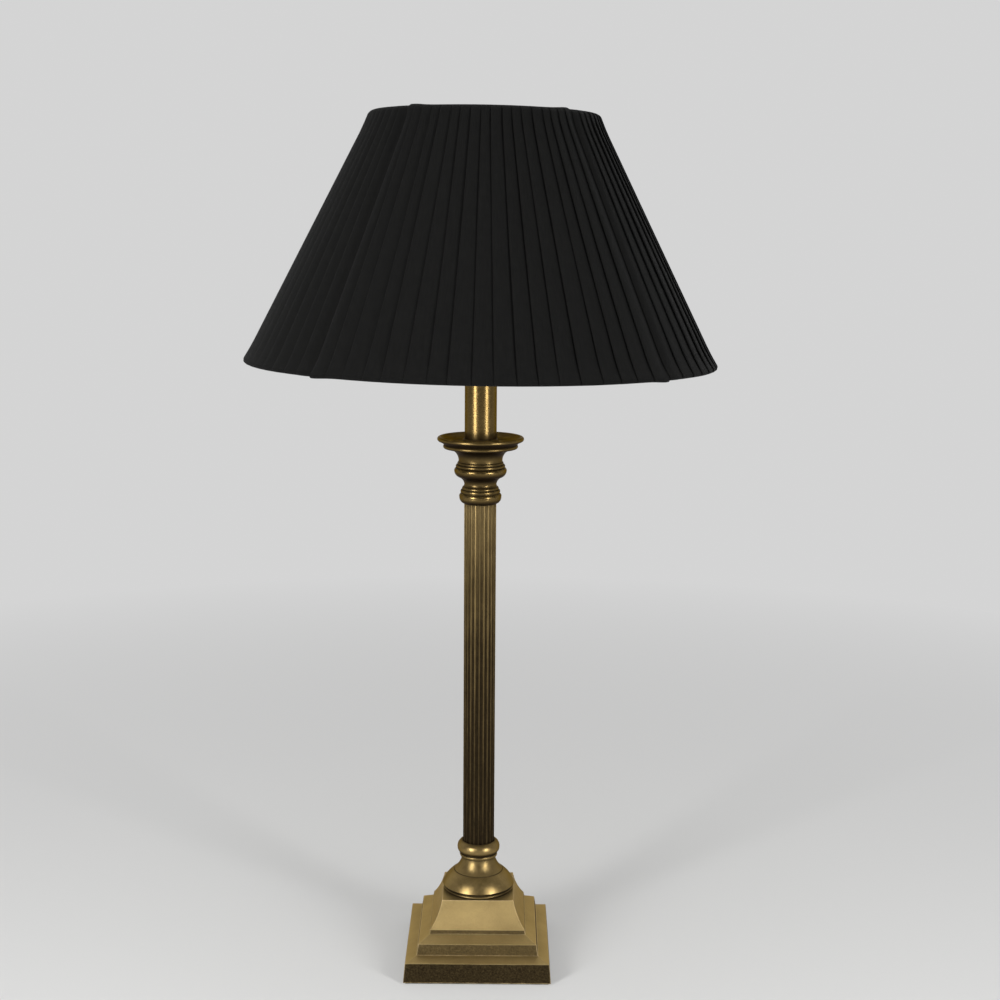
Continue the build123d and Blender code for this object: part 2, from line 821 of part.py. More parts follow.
def shade_arms():
    above = rod_of(ring_radius + moving_gap, upper_ring_foot - moving_gap,
                   upper_ring_foot + ring_thickness + moving_gap)
    below = rod_of(ring_radius + moving_gap, lower_ring_foot, fitter_foot)
    keep_out = [shade_top_wire(), shade_fitter(), above, below]
    return [largest(arm - keep_out) for arm in raw_arms()]


def shade_cover():
    return lobed_wall(cover_inset, cover_cloth, cloth_low, cloth_high)


def shade_lining():
    return lobed_wall(lining_inset, lining_cloth, cloth_low, cloth_high)


def shade_trim(level, wires):
    """Cloth roll round a ring, with the way cut for the wires that meet it."""
    roll = lobed_ring(level, Circle(trim_radius) - Circle(ring_wire_radius + thread_clearance))
    for wire in wires:
        roll -= wire
    return roll


def largest(shape):
    return sorted(shape.solids(), key=lambda solid: solid.volume)[-1]


# ---------------------------------------------------------------- the lamp
def pieces():
    yield "base_felt", base_felt()
    yield "base_cover", base_cover()
    yield "cover_screws", cover_screws()
    yield "base_weight", base_weight()
    yield "plinth", plinth()
    yield "cord_bush", cord_bush()
    yield "cord_bush_nut", cord_bush_nut()
    yield "threaded_rod", threaded_rod()
    yield "rod_washer", rod_washer()
    yield "rod_lock_washer", rod_lock_washer()
    yield "rod_nut_bottom", rod_nut_bottom()
    yield "rod_nut_top", rod_nut_top()
    yield "foot_bell", foot_bell()
    yield "foot_collar", foot_collar()
    yield "column", column()
    yield "column_bushing_lower", column_bushing(column_foot)
    yield "column_bushing_upper", column_bushing(column_top - bushing_height)
    yield "column_cap", column_cap()
    yield "knop", knop()
    yield "drip_pan", drip_pan()
    yield "tube_ring", tube_ring()
    yield "candle_tube", candle_tube()
    yield "tube_cap", tube_cap()
    yield "lampholder_cap", lampholder_cap()
    yield "lampholder_skirt", lampholder_skirt()
    yield "holder_insert", holder_insert()
    yield "terminal_screws", terminal_screws()
    yield "screw_shell", screw_shell()
    yield "centre_contact", centre_contact()
    yield "switch_bar", switch_bar()
    yield "shade_ring_lower", shade_ring(lower_ring_foot)
    yield "shade_ring_upper", shade_ring(upper_ring_foot)
    yield "bulb_tip", bulb_tip()
    yield "bulb_insulator", bulb_insulator()
    yield "bulb_cap", bulb_cap()
    yield "bulb_glass", bulb_glass()
    yield "bulb_stem", bulb_stem()
    yield "bulb_filament", bulb_filament()
    yield "shade_fitter", shade_fitter()
    yield "shade_arms", shade_arms()
    yield "shade_top_wire", shade_top_wire()
    yield "shade_bottom_wire", shade_bottom_wire()
    yield "shade_ribs", shade_ribs()
    yield "shade_cover", shade_cover()
    yield "shade_lining", shade_lining()
    rib_holes = raw_ribs(thread_clearance, reach_past=rib_radius)
    yield "shade_top_trim", shade_trim(top_wire_level, rib_holes + raw_arms(thread_clearance))
    yield "shade_bottom_trim", shade_trim(bottom_wire_level, rib_holes)


for name, shape in pieces():
    shape = Compound(children=shape) if isinstance(shape, list) else shape
    export_step(shape, f"parts/{name}.step")
    print(name, round(shape.volume, 1))
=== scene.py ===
"""Looks of the candlestick table lamp: aged brass, pleated black shade, lampholder and bulb."""

import math
import random

import bmesh
import bpy
from mathutils import Matrix, Vector


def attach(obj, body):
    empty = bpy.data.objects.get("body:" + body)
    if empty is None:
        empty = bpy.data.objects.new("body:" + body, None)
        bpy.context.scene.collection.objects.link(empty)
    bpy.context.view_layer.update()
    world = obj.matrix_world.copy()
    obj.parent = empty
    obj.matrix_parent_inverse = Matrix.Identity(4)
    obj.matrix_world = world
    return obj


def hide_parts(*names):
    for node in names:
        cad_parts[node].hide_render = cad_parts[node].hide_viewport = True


bl_info = {
    "name": "Candlestick table lamp",
    "version": (1, 0, 0),
    "blender": (4, 5, 0),
    "location": "3D View > Sidebar > Lamp",
    "description": "Finishes the brass, cloth, lampholder and bulb of a candlestick table lamp",
    "category": "Object",
}

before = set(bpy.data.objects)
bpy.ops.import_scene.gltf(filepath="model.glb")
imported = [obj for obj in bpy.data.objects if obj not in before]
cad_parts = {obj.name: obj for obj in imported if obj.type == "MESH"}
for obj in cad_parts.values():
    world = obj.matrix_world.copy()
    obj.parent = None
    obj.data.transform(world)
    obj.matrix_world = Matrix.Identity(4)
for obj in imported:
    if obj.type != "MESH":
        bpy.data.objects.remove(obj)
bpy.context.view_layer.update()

MM = 0.001

# ---------------------------------------------------------------- shade plan, as its solids have it
SHADE_FOOT = 540.8 * MM
SHADE_HEIGHT = 211.0 * MM
SHADE_TOP = SHADE_FOOT + SHADE_HEIGHT
BOTTOM_REACH = 203.2 * MM
BOTTOM_VALLEY = 198.8 * MM
TOP_REACH = 95.5 * MM
TOP_VALLEY = 91.3 * MM
VALLEY_RADIUS = 2.5 * MM
SHADE_TURN = 3.9
SHADE_LEAN = 0.6
LOBES = 4
ROLL_RADIUS = 3.2 * MM
LINING_INSET = 6.75 * MM
LINING_MARGIN = 6.5 * MM
BOTTOM_ROLL_LENGTH = 1.24
TOP_ROLL_LENGTH = 0.6
CLOTH_MAP = "cloth"

SHADE_PLACE = (Matrix.Translation((0, 0, SHADE_FOOT))
               @ Matrix.Rotation(math.radians(SHADE_LEAN), 4, "Y")
               @ Matrix.Rotation(math.radians(SHADE_TURN), 4, "Z"))


# ---------------------------------------------------------------- sizes and colours a user may change
class LampBrass(bpy.types.PropertyGroup):
    bl_label = "Brass"
    gold: bpy.props.FloatVectorProperty(
        name="Gold", description="Colour of the brass where hands and cloths have kept it bright",
        subtype="COLOR", size=3, min=0, max=1, default=(0.55, 0.4, 0.17))
    olive: bpy.props.FloatVectorProperty(
        name="Olive", description="Colour of the patina that covers most of the brass",
        subtype="COLOR", size=3, min=0, max=1, default=(0.078, 0.047, 0.0125))
    # Also the colour of the painted shade on undersides and upright faces.
    brown: bpy.props.FloatVectorProperty(
        name="Brown", description="Colour of the old lacquer left in recesses and flutes",
        subtype="COLOR", size=3, min=0, max=1, default=(0.011, 0.0066, 0.0026))
    # Rubbed edges on the plinth also stand for a painted highlight.
    rubbed: bpy.props.FloatVectorProperty(
        name="Rubbed", description="Colour of the edges that are rubbed bare",
        subtype="COLOR", size=3, min=0, max=1, default=(0.85, 0.66, 0.36))
    roughness: bpy.props.FloatProperty(
        name="Roughness", description="Roughness of the satin brass", min=0.05, max=1, default=0.3)
    recess: bpy.props.FloatProperty(
        name="Recess width", description="How far dark lacquer creeps out of a recess",
        subtype="DISTANCE", unit="LENGTH", min=0.0005, max=0.05, default=0.012)
    wear: bpy.props.FloatProperty(
        name="Edge wear and glint", description="How bright the rubbed edges are", min=0, max=1, default=0.7)


class LampShade(bpy.types.PropertyGroup):
    bl_label = "Shade"
    cloth: bpy.props.FloatVectorProperty(
        name="Cloth", description="Colour of the pleated cloth",
        subtype="COLOR", size=3, min=0, max=1, default=(0.0045, 0.0045, 0.0043))
    lining: bpy.props.FloatVectorProperty(
        name="Lining", description="Colour of the inner cloth",
        subtype="COLOR", size=3, min=0, max=1, default=(0.72, 0.66, 0.54))
    pleats: bpy.props.IntProperty(
        name="Pleats in a lobe", description="Knife pleats between two valleys",
        min=6, max=40, default=18)
    strip: bpy.props.FloatProperty(
        name="Cloth in a pleat", description="Width of cloth that one pleat takes up",
        subtype="DISTANCE", unit="LENGTH", min=0.01, max=0.06, default=0.024)
    fold: bpy.props.FloatProperty(
        name="Fold height", description="How far a folded edge stands above the pleat on its left",
        subtype="DISTANCE", unit="LENGTH", min=0.0005, max=0.004, default=0.0024)
    unevenness: bpy.props.FloatProperty(
        name="Unevenness", description="How much the pleats differ in width",
        min=0, max=0.4, default=0.13)
    band: bpy.props.FloatProperty(
        name="Rolled band", description="Height of the band that is rolled round each ring, inside",
        subtype="DISTANCE", unit="LENGTH", min=0.004, max=0.02, default=0.0085)
    lip: bpy.props.FloatProperty(
        name="Lip", description="How far the cloth swells beside a valley",
        subtype="DISTANCE", unit="LENGTH", min=0, max=0.004, default=0.0006)
    step: bpy.props.FloatProperty(
        name="Rim step", description="Height of the step in the rims where two lobes meet",
        subtype="DISTANCE", unit="LENGTH", min=0, max=0.005, default=0.0013)
    seed: bpy.props.IntProperty(
        name="Seed", description="Start of the pleats' unevenness", min=0, max=999, default=7)


class LampStage(bpy.types.PropertyGroup):
    bl_label = "Stage"
    floor: bpy.props.FloatVectorProperty(
        name="Floor", description="Colour of the floor", subtype="COLOR", size=3, min=0, max=1,
        default=(0.8, 0.8, 0.79))
    softbox: bpy.props.FloatProperty(
        name="Softbox power", description="Power of each tall softbox before the lamp", unit="POWER",
        min=0, max=100, default=26.0)
    top_light: bpy.props.FloatProperty(
        name="Top light power", description="Power of the wide light over the lamp", unit="POWER",
        min=0, max=100, default=5.0)
    surround: bpy.props.FloatProperty(
        name="Surround", description="Light of the room on matt surfaces", min=0, max=2, default=0.32)
    backdrop: bpy.props.FloatProperty(
        name="Backdrop", description="Paleness of the backdrop, also where metal mirrors it",
        min=0, max=1, default=0.66)
    room: bpy.props.FloatProperty(
        name="Room", description="Share of the backdrop that metal and glass mirror before the lamp",
        min=0, max=1, default=0.22)
    eye: bpy.props.FloatVectorProperty(
        name="Camera place", description="Where the camera stands", subtype="TRANSLATION", size=3,
        default=(0.0172, -1.3785, 0.6589))
    pitch: bpy.props.FloatProperty(
        name="Camera pitch", description="How far the camera looks down", subtype="ANGLE",
        default=math.radians(9.767))
    roll: bpy.props.FloatProperty(
        name="Camera roll", description="How far the camera leans", subtype="ANGLE",
        default=math.radians(0.416))
    lens: bpy.props.FloatProperty(
        name="Lens", description="Focal length on a 36 mm sensor", min=10, max=200, default=57.6)


# ---------------------------------------------------------------- shader node groups and materials
class Nodes:
    """Short ways to add, set and join the nodes of a material or of a node group."""

    def __init__(self, tree):
        self.tree = tree
        self.count = 0

    def add(self, kind, inputs=None, **settings):
        node = self.tree.nodes.new(kind)
        for key, value in settings.items():
            setattr(node, key, value)
        for key, value in (inputs or {}).items():
            self.put(node.inputs[key], value)
        node.location = (180 * (self.count % 12), -220 * (self.count // 12))
        self.count += 1
        return node

    def put(self, socket, value):
        if isinstance(value, bpy.types.NodeSocket):
            self.tree.links.new(value, socket)
        elif socket.type == "RGBA" and len(value) == 3:
            socket.default_value = (*value, 1)
        else:
            socket.default_value = value

    def math(self, operation, *values, clamp=False):
        node = self.add("ShaderNodeMath", dict(enumerate(values)), operation=operation, use_clamp=clamp)
        return node.outputs[0]

    def blend(self, share, a, b):
        node = self.add("ShaderNodeMix", {0: share, 6: a, 7: b}, data_type="RGBA")
        return node.outputs[2]

    def level(self, value, low, high, to_low=0.0, to_high=1.0):
        node = self.add("ShaderNodeMapRange", {0: value, 1: low, 2: high, 3: to_low, 4: to_high})
        return node.outputs[0]

    def noise(self, vector, scale, detail=4.0, roughness=0.55, dimensions="3D"):
        name = "W" if dimensions == "1D" else "Vector"
        node = self.add("ShaderNodeTexNoise", noise_dimensions=dimensions)
        for key, value in ((name, vector), ("Scale", scale), ("Detail", detail), ("Roughness", roughness)):
            self.put(node.inputs[key], value)
        return node.outputs[0]

    def place(self):
        return self.add("ShaderNodeTexCoord").outputs["Object"]

    def xyz(self, vector):
        return self.add("ShaderNodeSeparateXYZ", {0: vector}).outputs

    def group(self, group, **inputs):
        node = self.add("ShaderNodeGroup", node_tree=group)
        for key, value in inputs.items():
            self.put(node.inputs[key.replace("_", " ")], value)
        return node.outputs

    def bump(self, height, distance, strength=1.0):
        return self.add("ShaderNodeBump", {"Height": height, "Distance": distance,
                                           "Strength": strength}).outputs[0]


def new_group(name, inputs, outputs):
    """An empty shader node group with its sockets: (group, nodes, inputs' sockets, output node)."""
    tree = bpy.data.node_groups.new(name, "ShaderNodeTree")
    for label, kind, value in inputs:
        socket = tree.interface.new_socket(label, in_out="INPUT", socket_type=kind)
        if value is not None:
            socket.default_value = value
    for label, kind in outputs:
        tree.interface.new_socket(label, in_out="OUTPUT", socket_type=kind)
    nodes = Nodes(tree)
    start = nodes.add("NodeGroupInput").outputs
    return tree, nodes, start, nodes.add("NodeGroupOutput").inputs


def recess_group():
    """Mask that is 1 deep in a recess and 0 on open surface."""
    tree, n, start, end = new_group(
        "Recess", [("Width", "NodeSocketFloat", 0.007), ("Sharpness", "NodeSocketFloat", 1.0)],
        [("Mask", "NodeSocketFloat")])
    open_air = n.add("ShaderNodeAmbientOcclusion", {"Distance": start["Width"]}, samples=8).outputs["AO"]
    closed = n.math("SUBTRACT", 1.0, open_air, clamp=True)
    n.put(end["Mask"], n.math("MINIMUM", n.math("MULTIPLY", closed, start["Sharpness"]), 1.0))
    return tree


def edge_group():
    """Mask that is 1 along outer edges, broken up as rubbing breaks it up: rubbed brass, and on the plinth
    also a painted highlight.
    """
    tree, n, start, end = new_group(
        "Edge wear and glint", [("Vector", "NodeSocketVector", None), ("Width", "NodeSocketFloat", 0.0006),
                      ("Amount", "NodeSocketFloat", 0.7)],
        [("Mask", "NodeSocketFloat")])
    soft = n.add("ShaderNodeBevel", {"Radius": start["Width"]}, samples=6).outputs[0]
    true = n.add("ShaderNodeNewGeometry").outputs["Normal"]
    same = n.add("ShaderNodeVectorMath", {0: soft, 1: true}, operation="DOT_PRODUCT").outputs["Value"]
    edge = n.level(same, 0.99, 0.86)
    broken = n.level(n.noise(start["Vector"], 90.0, 5.0), 0.3, 0.6, 0.35, 1.0)
    n.put(end["Mask"], n.math("MULTIPLY", n.math("MULTIPLY", edge, broken), start["Amount"]))
    return tree


def mottle_group():
    """Broad clouds and fine grains of patina."""
    tree, n, start, end = new_group(
        "Mottle", [("Vector", "NodeSocketVector", None), ("Broad scale", "NodeSocketFloat", 35.0),
                   ("Fine scale", "NodeSocketFloat", 420.0)],
        [("Broad", "NodeSocketFloat"), ("Fine", "NodeSocketFloat")])
    broad = n.noise(start["Vector"], start["Broad scale"], 6.0, 0.6)
    fine = n.noise(start["Vector"], start["Fine scale"], 4.0, 0.65)
    n.put(end["Broad"], n.level(broad, 0.32, 0.68))
    n.put(end["Fine"], n.level(fine, 0.3, 0.7))
    return tree


def turning_group():
    """Fine rings that a lathe tool leaves round the axis."""
    tree, n, start, end = new_group(
        "Turning lines", [("Vector", "NodeSocketVector", None), ("Spacing", "NodeSocketFloat", 0.0005)],
        [("Height", "NodeSocketFloat")])
    x, y, z = n.xyz(start["Vector"])
    around = n.math("SQRT", n.math("ADD", n.math("MULTIPLY", x, x), n.math("MULTIPLY", y, y)))
    run = n.math("ADD", z, n.math("MULTIPLY", around, 0.7))
    lines = n.noise(n.math("DIVIDE", run, start["Spacing"]), 1.0, 3.0, 0.7, "1D")
    n.put(end["Height"], lines)
    return tree


def weave_group():
    """Plain weave: threads that pass over and under each other."""
    tree, n, start, end = new_group(
        "Plain weave", [("Vector", "NodeSocketVector", None), ("Thread", "NodeSocketFloat", 0.0005)],
        [("Height", "NodeSocketFloat"), ("Slub", "NodeSocketFloat")])
    x, y, _ = n.xyz(start["Vector"])
    across = n.math("DIVIDE", x, start["Thread"])
    along = n.math("DIVIDE", y, start["Thread"])
    parity = n.math("MODULO", n.math("ADD", n.math("FLOOR", across), n.math("FLOOR", along)), 2.0)
    over = n.math("GREATER_THAN", n.math("ABSOLUTE", parity), 0.5)
    warp = n.math("ABSOLUTE", n.math("SINE", n.math("MULTIPLY", across, math.pi)))
    weft = n.math("ABSOLUTE", n.math("SINE", n.math("MULTIPLY", along, math.pi)))
    warp_part = n.math("MULTIPLY", warp, n.math("ADD", 0.4, n.math("MULTIPLY", weft, 0.6)))
    weft_part = n.math("MULTIPLY", weft, n.math("ADD", 0.4, n.math("MULTIPLY", warp, 0.6)))
    height = n.math("ADD", n.math("MULTIPLY", warp_part, over),
                    n.math("MULTIPLY", weft_part, n.math("SUBTRACT", 1.0, over)))
    stretched = n.add("ShaderNodeCombineXYZ", {0: n.math("MULTIPLY", x, 900.0),
                                               1: n.math("MULTIPLY", y, 45.0)}).outputs[0]
    n.put(end["Height"], height)
    n.put(end["Slub"], n.level(n.noise(stretched, 1.0, 3.0, 0.6), 0.3, 0.7))
    return tree


def dust_group():
    """Mask of dust that settles on what faces up."""
    tree, n, start, end = new_group(
        "Dust", [("Vector", "NodeSocketVector", None), ("Amount", "NodeSocketFloat", 0.3)],
        [("Mask", "NodeSocketFloat")])
    up = n.level(n.xyz(n.add("ShaderNodeNewGeometry").outputs["Normal"])[2], 0.3, 1.0)
    patches = n.level(n.noise(start["Vector"], 140.0, 6.0, 0.7), 0.35, 0.75)
    n.put(end["Mask"], n.math("MULTIPLY", n.math("MULTIPLY", up, patches), start["Amount"]))
    return tree


GROUP_MAKERS = {"Recess": recess_group, "Edge wear and glint": edge_group, "Mottle": mottle_group,
                "Turning lines": turning_group, "Plain weave": weave_group, "Dust": dust_group}


def effect(name):
    return bpy.data.node_groups.get(name) or GROUP_MAKERS[name]()


def new_finish(name):
    """A material with its nodes and Principled shader: (material, nodes, shader's inputs)."""
    material = bpy.data.materials.new(name)
    material.use_nodes = True
    material.node_tree.nodes.clear()
    nodes = Nodes(material.node_tree)
    shader = nodes.add("ShaderNodeBsdfPrincipled")
    output = nodes.add("ShaderNodeOutputMaterial")
    nodes.tree.links.new(shader.outputs[0], output.inputs[0])
    return material, nodes, shader.inputs


def paint(material, *names):
    for name in names:
        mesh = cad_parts[name].data
        mesh.materials.clear()
        mesh.materials.append(material)


def aged_brass(name, brass, bright=0.5, turned=True, recess=1.0, extra=None, roughness=None,
               grain=420.0, grain_height=0.00003, wear=0.25,
               variation=0.5, edge_width=0.0005, reach=1.0):
    """Old satin brass. bright is how much gold shows; extra(nodes, place) adds brown, painted shade on
    some parts.
    """
    material, n, shader = new_finish(name)
    place = n.place()
    mottle = n.group(effect("Mottle"), Vector=place, Broad_scale=38.0, Fine_scale=grain)
    # Dark lacquer left in recesses, widened by reach on the knops and foot as painted shade in their
    # coves.
    lacquer_and_painted_shade = n.group(effect("Recess"), Width=brass.recess * reach, Sharpness=recess * 1.7)["Mask"]
    # Edge mask: rubbed brass, and on the plinth also a painted highlight.
    edge = n.group(effect("Edge wear and glint"), Vector=place, Width=edge_width,
                   Amount=brass.wear * wear)["Mask"]
    share = n.math("ADD", n.math("MULTIPLY", mottle["Broad"], variation * 0.6),
                   n.math("MULTIPLY", mottle["Fine"], variation * 0.4))
    share = n.math("ADD", share, bright - variation * 0.5, clamp=True)
    metal = n.blend(edge, n.blend(share, brass.olive, brass.gold), brass.rubbed)
    if extra:
        lacquer_and_painted_shade = n.math("MAXIMUM", lacquer_and_painted_shade, extra(n, place))
    uneven = n.level(mottle["Fine"], 0.0, 1.0, 0.78, 1.0)
    dark = n.math("MULTIPLY", n.math("MULTIPLY", lacquer_and_painted_shade, uneven), n.math("SUBTRACT", 1.0, edge),
                  clamp=True)
    dark = n.math("SUBTRACT", 1.0, n.math("POWER", n.math("SUBTRACT", 1.0, dark), 2.2))
    n.put(shader["Base Color"], n.blend(dark, metal, brass.brown))
    n.put(shader["Metallic"], n.level(dark, 0.0, 1.0, 1.0, 0.72))
    base = brass.roughness if roughness is None else roughness
    rough = n.math("ADD", n.level(mottle["Fine"], 0.0, 1.0, base - 0.04, base + 0.07),
                   n.math("MULTIPLY", dark, 0.2))
    n.put(shader["Roughness"], rough)
    shader["Specular Tint"].default_value = (0.55, 0.46, 0.33, 1)
    normal = n.bump(mottle["Fine"], grain_height, 0.5)
    if turned:
        lines = n.group(effect("Turning lines"), Vector=place, Spacing=0.0007)["Height"]
        node = n.add("ShaderNodeBump", {"Height": lines, "Distance": 0.00001, "Strength": 0.5,
                                        "Normal": normal})
        normal = node.outputs[0]
    n.put(shader["Normal"], normal)
    return material


def plain_metal(name, colour, roughness, dark=(0.02, 0.02, 0.02), lines=0.0008, metallic=1.0):
    """Plated or painted metal with faint tool marks, darker in its corners."""
    material, n, shader = new_finish(name)
    place = n.place()
    mottle = n.group(effect("Mottle"), Vector=place, Broad_scale=60.0, Fine_scale=700.0)
    # Darker where the surface is hemmed in, from an occlusion mask.
    corner_darkening = n.group(effect("Recess"), Width=0.003, Sharpness=0.8)["Mask"]
    tone = n.blend(n.math("MULTIPLY", mottle["Broad"], 0.25), colour, [c * 0.6 for c in colour])
    n.put(shader["Base Color"], n.blend(n.math("MULTIPLY", corner_darkening, 0.6), tone, dark))
    shader["Metallic"].default_value = metallic
    n.put(shader["Roughness"], n.level(mottle["Fine"], 0.0, 1.0, roughness - 0.05, roughness + 0.1))
    marks = n.group(effect("Turning lines"), Vector=place, Spacing=lines)["Height"]
    n.put(shader["Normal"], n.bump(marks, 0.00002, 0.6))
    return material


def woven_cloth(name, colour, thread, fuzz, slubs=0.35, folds=0.9):
    """Cloth with a plain weave laid along its own map, so that it follows the folds."""
    material, n, shader = new_finish(name)
    flat = n.add("ShaderNodeUVMap", uv_map=CLOTH_MAP).outputs[0]
    place = n.place()
    weave = n.group(effect("Plain weave"), Vector=flat, Thread=thread)
    fine = n.noise(place, 260.0, 5.0, 0.6)
    light = [min(1.0, c * 1.55) for c in colour]
    dark = [c * 0.62 for c in colour]
    # Slubs give the thread's own uneven tone; the weave's height is painted shading, lighter on raised
    # threads.
    share = n.math("ADD", n.math("MULTIPLY", weave["Slub"], slubs),
                   n.math("MULTIPLY", weave["Height"], 0.45))
    share = n.math("ADD", share, n.math("MULTIPLY", fine, 0.08), clamp=True)
    tone = n.blend(share, dark, light)
    dust = n.group(effect("Dust"), Vector=place, Amount=0.02)["Mask"]
    # Painted shade: the cloth is darkened where folds close in, by the folds share.
    crease_shade = n.group(effect("Recess"), Width=0.0025, Sharpness=1.4)["Mask"]
    tone = n.blend(n.math("MULTIPLY", crease_shade, folds), tone, [c * 0.12 for c in colour])
    n.put(shader["Base Color"], n.blend(dust, tone, (0.3, 0.29, 0.27)))
    n.put(shader["Roughness"], n.level(weave["Height"], 0.0, 1.0, 0.92, 0.72))
    shader["Sheen Weight"].default_value = fuzz
    shader["Sheen Roughness"].default_value = 0.45
    shader["Specular IOR Level"].default_value = 0.07
    n.put(shader["Normal"], n.bump(weave["Height"], thread * 0.3, 0.55))
    return material


# ---------------------------------------------------------------- cloth shapes
def plan_spot(lobe, along, height, inset):
    """A point of the shade's plan: along runs 0 to 1 from one valley of the lobe to the next."""
    share = (height - SHADE_FOOT) / SHADE_HEIGHT
    reach = BOTTOM_REACH + share * (TOP_REACH - BOTTOM_REACH)
    hollow = BOTTOM_VALLEY + share * (TOP_VALLEY - BOTTOM_VALLEY) + VALLEY_RADIUS
    outer = reach + VALLEY_RADIUS
    centre = (outer ** 2 - hollow ** 2) / (2 * outer - math.sqrt(2) * hollow)
    side = hollow / math.sqrt(2)
    half = math.atan2(side, side - centre)
    angle = (2 * along - 1) * half
    radius = reach - centre - inset
    spot = Vector((radius * math.sin(angle), -centre - radius * math.cos(angle), height - SHADE_FOOT))
    from_valley = min(along, 1 - along) * 2 * half * (reach - centre)
    return Matrix.Rotation(math.radians(360 / LOBES * lobe), 4, "Z") @ spot, from_valley


def settle(spot):
    return SHADE_PLACE @ spot


def swell(shade, from_valley, from_rim=0.0):
    """How far the cloth stands out beside a valley, or in at its middle away from the rims."""
    lip = shade.lip * math.exp(-((from_valley - 9 * MM) / (6 * MM)) ** 2)
    hollow = 0.9 * smooth(from_rim / (14 * MM)) - 0.2
    return lip - hollow * MM * math.exp(-(from_valley / (3.5 * MM)) ** 2)


def rim_drop(shade, lobe, from_valley):
    """How far a rim stands out along the slope near a valley: every other lobe overhangs."""
    share = 1.0 if lobe % 2 == 0 else 0.1
    return share * shade.step * math.exp(-(from_valley / (16 * MM)) ** 2)


def smooth(value):
    value = max(0.0, min(1.0, value))
    return value * value * (3 - 2 * value)


def cloth_piece(name, rows, across, down, material):
    """Closed rings of points as one piece. across and down are its cloth map in metres."""
    mesh = bpy.data.meshes.new(name)
    grid = bmesh.new()
    cloth = grid.loops.layers.uv.new(CLOTH_MAP)
    points = [[grid.verts.new(point) for point in row] for row in rows]
    columns = len(rows[0])
    for r in range(len(rows) - 1):
        for c in range(columns):
            beside = (c + 1) % columns
            face = grid.faces.new((points[r][c], points[r][beside], points[r + 1][beside],
                                   points[r + 1][c]))
            face.smooth = True
            corners = ((c, r), (c + 1, r), (c + 1, r + 1), (c, r + 1))
            for loop, (u, v) in zip(face.loops, corners):
                loop[cloth].uv = (across[u], down[v])
    grid.to_mesh(mesh)
    grid.free()
    mesh.materials.append(material)
    piece = bpy.data.objects.new(name, mesh)
    bpy.context.scene.collection.objects.link(piece)
    return piece


# One pleat from its folded edge to the next: share of the pitch, share of the underlap,
# share of the fold's height, share of the cloth.
PLEAT = [(0.045, 0.0, 0.5, 0.0), (0.03, 0.0, 0.66, 0.01), (0.038, 0.0, 0.82, 0.02),
         (0.07, 0.0, 0.95, 0.05), (0.14, 0.0, 1.0, 0.1), (0.3, 0.0, 0.93, 0.24),
         (0.5, 0.0, 0.76, 0.4), (0.72, 0.0, 0.5, 0.56), (0.92, 0.0, 0.2, 0.7),
         (1.0, 0.2, 0.08, 0.76), (1.0, 0.6, 0.04, 0.82), (1.0, 1.0, 0.08, 0.86),
         (1.0, 0.6, 0.22, 0.92), (1.0, 0.3, 0.34, 0.97)]
COVER_BASE = 2.5 * MM

# How the cloth comes up round a ring: base inset, height over the rim's edge, share of the fold kept.
RIM = [(ROLL_RADIUS - 2.9 * MM * math.cos(turn), ROLL_RADIUS - 2.9 * MM * math.sin(turn), press)
       for turn, press in ((2.2, 0.02), (1.8, 0.05), (1.4, 0.12), (1.0, 0.22), (0.6, 0.34), (0.25, 0.42),
                           (-0.15, 0.5))]
RIM += [(0.7 * MM, 5.2 * MM, 0.58), (1.15 * MM, 7.5 * MM, 0.7), (1.7 * MM, 10.5 * MM, 0.82),
        (2.15 * MM, 14 * MM, 0.93), (COVER_BASE, 19 * MM, 1.0)]


def fold_places(shade, rng):
    """Where each folded edge of a lobe starts, at the bottom and the top ring."""
    widths = [1 + rng.uniform(-shade.unevenness, shade.unevenness) for _ in range(shade.pleats)]
    tops = [w * (1 + rng.uniform(-0.5, 0.5) * shade.unevenness) for w in widths]
    places = []
    for sizes in (widths, tops):
        total, run = sum(sizes), [0.0]
        for size in sizes:
            run.append(run[-1] + size / total)
        places.append(run)
    return places


